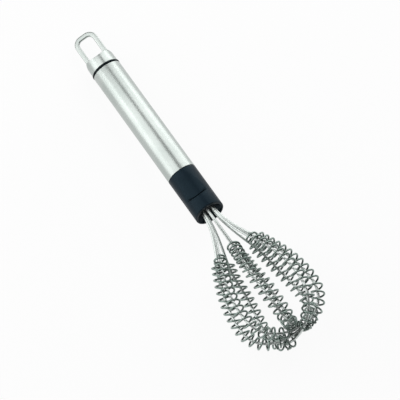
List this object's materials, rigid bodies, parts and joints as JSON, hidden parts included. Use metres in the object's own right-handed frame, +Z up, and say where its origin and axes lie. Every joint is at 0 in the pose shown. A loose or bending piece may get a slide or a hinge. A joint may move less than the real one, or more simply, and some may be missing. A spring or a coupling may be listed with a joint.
{
  "type": "spiral whisk",
  "caption": "Hand whisk with a round steel handle, hanging loop and black thumb collar, whose crossed wire loops carry loose coil springs on their legs.",
  "frame": {"origin": "middle of the footprint of the whisk lying on a table, on the table", "axes": "+X along the handle towards the head, +Z up, thumb side rolled towards -Y"},
  "size_m": [0.2764, 0.0676, 0.0676],
  "materials": {
    "handle_steel": "satin, brushed along the handle",
    "wire_steel": "bright drawn wire",
    "spring_steel": "bright drawn wire",
    "screw_steel": "plain",
    "black_plastic": "fine matt grain",
    "inner_plastic": "matt",
    "black_rubber": "smooth"
  },
  "bodies": {
    "handle": {"hanging_loop": "handle_steel", "end_cap": "handle_steel", "seal_ring": "black_rubber", "handle_tube": "handle_steel", "end_plug": "inner_plastic", "cap_screw": "screw_steel", "thumb_collar": "black_plastic", "wire_ferrule": "inner_plastic", "wire_loop_1": "wire_steel", "wire_loop_2": "wire_steel", "wire_loop_3": "wire_steel", "wire_loop_4": "wire_steel"},
    "spring_1a": {"coil_spring_1a": "spring_steel"},
    "spring_1b": {"coil_spring_1b": "spring_steel"},
    "spring_2a": {"coil_spring_2a": "spring_steel"},
    "spring_2b": {"coil_spring_2b": "spring_steel"},
    "spring_3a": {"coil_spring_3a": "spring_steel"},
    "spring_3b": {"coil_spring_3b": "spring_steel"},
    "spring_4a": {"coil_spring_4a": "spring_steel"},
    "spring_4b": {"coil_spring_4b": "spring_steel"}
  },
  "joints": [
    {"name": "spring_1a_slide", "type": "slide", "parent": "handle", "child": "spring_1a", "axis": [0.8476, -0.1199, 0.517], "range_m": [-0.0015, 0.0015]},
    {"name": "spring_1b_slide", "type": "slide", "parent": "handle", "child": "spring_1b", "axis": [0.9354, 0.1303, -0.3287], "range_m": [-0.0015, 0.0015]},
    {"name": "spring_2a_slide", "type": "slide", "parent": "handle", "child": "spring_2a", "axis": [0.8705, -0.3929, 0.2965], "range_m": [-0.0015, 0.0015]},
    {"name": "spring_2b_slide", "type": "slide", "parent": "handle", "child": "spring_2b", "axis": [0.9165, 0.3725, -0.1461], "range_m": [-0.0015, 0.0015]},
    {"name": "spring_3a_slide", "type": "slide", "parent": "handle", "child": "spring_3a", "axis": [0.9035, -0.4281, -0.0215], "range_m": [-0.0015, 0.0015]},
    {"name": "spring_3b_slide", "type": "slide", "parent": "handle", "child": "spring_3b", "axis": [0.8798, 0.428, 0.2067], "range_m": [-0.0015, 0.0015]},
    {"name": "spring_4a_slide", "type": "slide", "parent": "handle", "child": "spring_4a", "axis": [0.9331, -0.188, -0.3065], "range_m": [-0.0015, 0.0015]},
    {"name": "spring_4b_slide", "type": "slide", "parent": "handle", "child": "spring_4b", "axis": [0.8536, 0.2468, 0.4587], "range_m": [-0.0015, 0.0015]}
  ]
}
